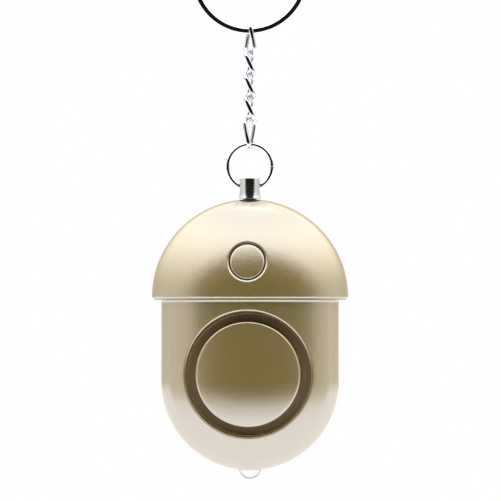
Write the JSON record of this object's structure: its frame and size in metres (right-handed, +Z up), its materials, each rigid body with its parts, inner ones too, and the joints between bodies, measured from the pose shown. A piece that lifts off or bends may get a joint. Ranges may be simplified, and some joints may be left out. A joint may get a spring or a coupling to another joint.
{
  "type": "personal safety alarm",
  "caption": "Acorn-shaped keychain alarm: pull the pin by its ring to free the switch and sound the siren; a button works a small light.",
  "frame": {"origin": "hang point: inside face of the key ring at its top", "axes": "+Z up along the hanging chain, front with siren and button faces -Y, +X to the right seen from the front"},
  "size_m": [0.043, 0.022, 0.1226],
  "materials": {
    "gold_paint": "satin metallic gold paint on moulded plastic",
    "chrome_ring": "polished plating",
    "chain_steel": "polished plating",
    "turned_steel": "turned, lightly polished",
    "black_plastic": "moulded",
    "clear_lens": "clear epoxy",
    "tinned_lead": "tinned sheet",
    "screw_steel": "zinc plated",
    "board_green": "solder mask",
    "brass_disc": "rolled sheet",
    "ceramic_white": "fired silver face",
    "foam_black": "closed cell foam",
    "wire_jacket": "soft jacket",
    "cell_steel": "nickel plated can",
    "ferrite_gray": "sintered core in a sleeve"
  },
  "bodies": {
    "key_ring": {"key_ring": "chrome_ring"},
    "link_1": {"chain_link_1": "chain_steel"},
    "link_2": {"chain_link_2": "chain_steel"},
    "link_3": {"chain_link_3": "chain_steel"},
    "link_4": {"chain_link_4": "chain_steel"},
    "link_5": {"chain_link_5": "chain_steel"},
    "pin_ring": {"pin_ring": "chrome_ring"},
    "pull_pin": {"pin_head": "turned_steel", "pin_shank": "black_plastic"},
    "housing": {"front_shell": "gold_paint", "rear_shell": "gold_paint", "siren_cover": "gold_paint", "switch_body": "screw_steel", "circuit_board": "board_green", "piezo_plate": "brass_disc", "piezo_ceramic": "ceramic_white", "piezo_seal": "foam_black", "piezo_wires": "wire_jacket", "led_lens": "clear_lens", "led_leads": "tinned_lead", "battery_cell_1": "cell_steel", "battery_cell_2": "cell_steel", "battery_cell_3": "cell_steel", "cell_holder": "black_plastic", "negative_contact": "tinned_lead", "positive_contact": "tinned_lead", "front_cell_link": "tinned_lead", "rear_cell_link": "tinned_lead", "boost_coil": "ferrite_gray", "driver_chip": "black_plastic", "transistor": "black_plastic", "pin_socket": "black_plastic", "contact_block": "black_plastic", "fixed_contact": "brass_disc", "case_screws": "screw_steel"},
    "light_button": {"light_button": "gold_paint", "switch_plunger": "black_plastic"},
    "contact_leaf": {"contact_leaf": "brass_disc"}
  },
  "joints": [
    {"name": "link_1_swing", "type": "hinge", "parent": "key_ring", "child": "link_1", "pos_m": [0, 0, -0.0235], "axis": [1, 0, 0], "range_deg": [-60, 60]},
    {"name": "link_2_swing", "type": "hinge", "parent": "link_1", "child": "link_2", "pos_m": [0, 0, -0.02866], "axis": [0.7071, -0.7071, 0], "range_deg": [-60, 60]},
    {"name": "link_3_swing", "type": "hinge", "parent": "link_2", "child": "link_3", "pos_m": [0, 0, -0.03246], "axis": [-0.7071, -0.7071, 0], "range_deg": [-60, 60]},
    {"name": "link_4_swing", "type": "hinge", "parent": "link_3", "child": "link_4", "pos_m": [0, 0, -0.03846], "axis": [-0.7071, 0.7071, 0], "range_deg": [-60, 60]},
    {"name": "link_5_swing", "type": "hinge", "parent": "link_4", "child": "link_5", "pos_m": [0, 0, -0.04226], "axis": [0.7071, 0.7071, 0], "range_deg": [-60, 60]},
    {"name": "pin_ring_swing", "type": "hinge", "parent": "link_5", "child": "pin_ring", "pos_m": [0, 0, -0.04926], "axis": [0, -1, 0], "range_deg": [-75, 75]},
    {"name": "pull_pin_swing", "type": "hinge", "parent": "pin_ring", "child": "pull_pin", "pos_m": [0, 0, -0.05758], "axis": [-1, 0, 0], "range_deg": [-90, 90]},
    {"name": "pin_pull", "type": "slide", "parent": "pull_pin", "child": "housing", "axis": [0, 0, -1], "range_m": [0, 0.012]},
    {"name": "button_press", "type": "slide", "parent": "housing", "child": "light_button", "axis": [0, 1, 0], "range_m": [0, 0.0005], "stiffness_N_per_m": 1000},
    {"name": "leaf_flex", "type": "hinge", "parent": "housing", "child": "contact_leaf", "pos_m": [0.00175, 0.00135, -0.07268], "axis": [0, -1, 0], "range_deg": [0, 12.4]}
  ],
  "couplings": [
    {"joint": "leaf_flex", "follows": "pin_pull", "rad_per_m": 17.8}
  ]
}
